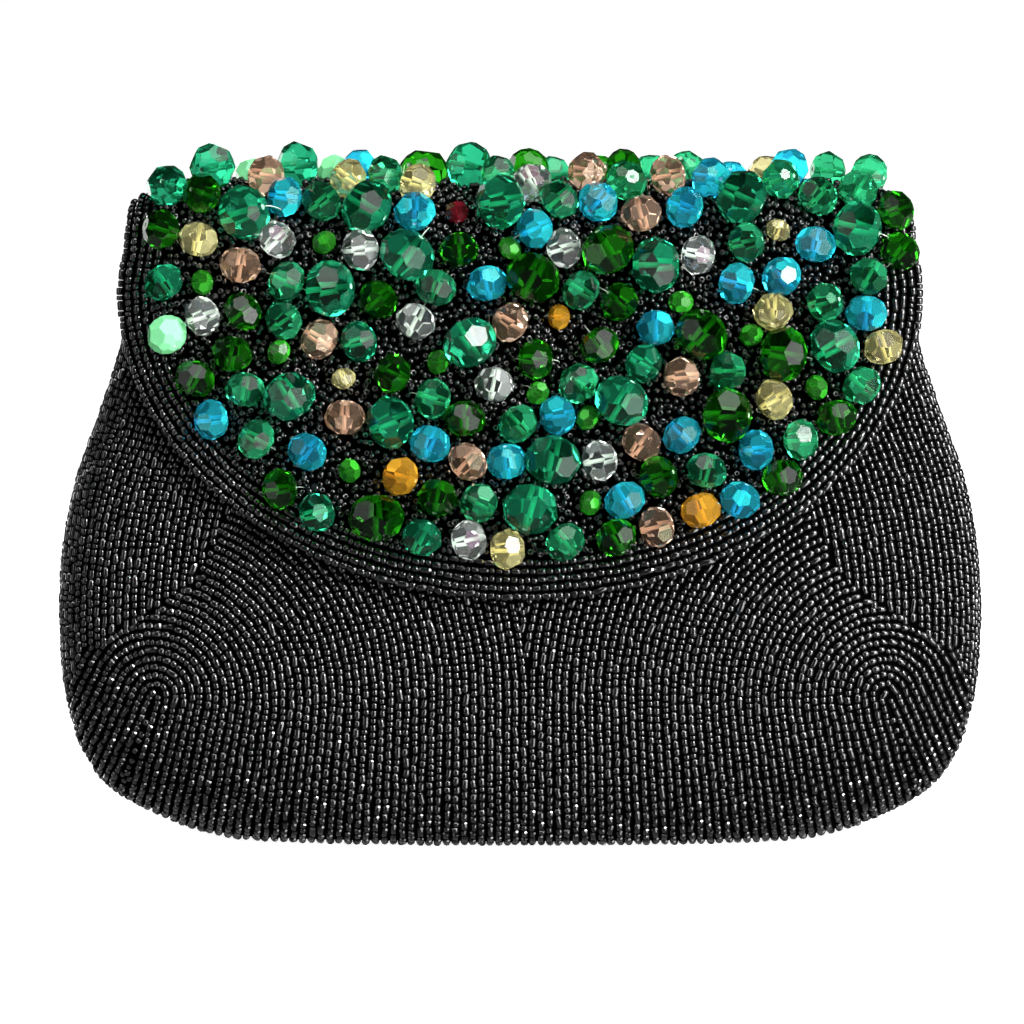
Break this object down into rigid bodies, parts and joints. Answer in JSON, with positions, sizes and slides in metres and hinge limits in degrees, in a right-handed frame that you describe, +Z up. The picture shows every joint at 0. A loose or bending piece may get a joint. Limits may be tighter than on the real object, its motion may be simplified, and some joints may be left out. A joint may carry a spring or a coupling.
{
  "type": "beaded evening bag",
  "caption": "Standing evening clutch: a seed-beaded pouch with an open mouth under a half-round flap set with faceted glass beads.",
  "frame": {"origin": "middle of the bag's bounding box, on the surface that its foot stands on", "axes": "+X across the bag to the right as seen from the front, +Y from the front to the back, +Z up"},
  "size_m": [0.2224, 0.064, 0.1666],
  "materials": {
    "seed_beads": "gloss",
    "flap_cloth": "matte",
    "teal_glass": "gloss",
    "emerald_glass": "gloss",
    "forest_glass": "gloss",
    "mint_glass": "gloss",
    "aqua_glass": "gloss",
    "crystal_glass": "gloss",
    "jonquil_glass": "gloss",
    "rose_glass": "gloss",
    "amber_glass": "gloss",
    "snap_steel": "satin"
  },
  "bodies": {
    "root": {"front_panel": "seed_beads", "back_panel": "seed_beads", "flap": "flap_cloth", "bead_field": "teal_glass", "bead_ridge": "teal_glass", "clasp": "snap_steel"}
  },
  "joints": []
}
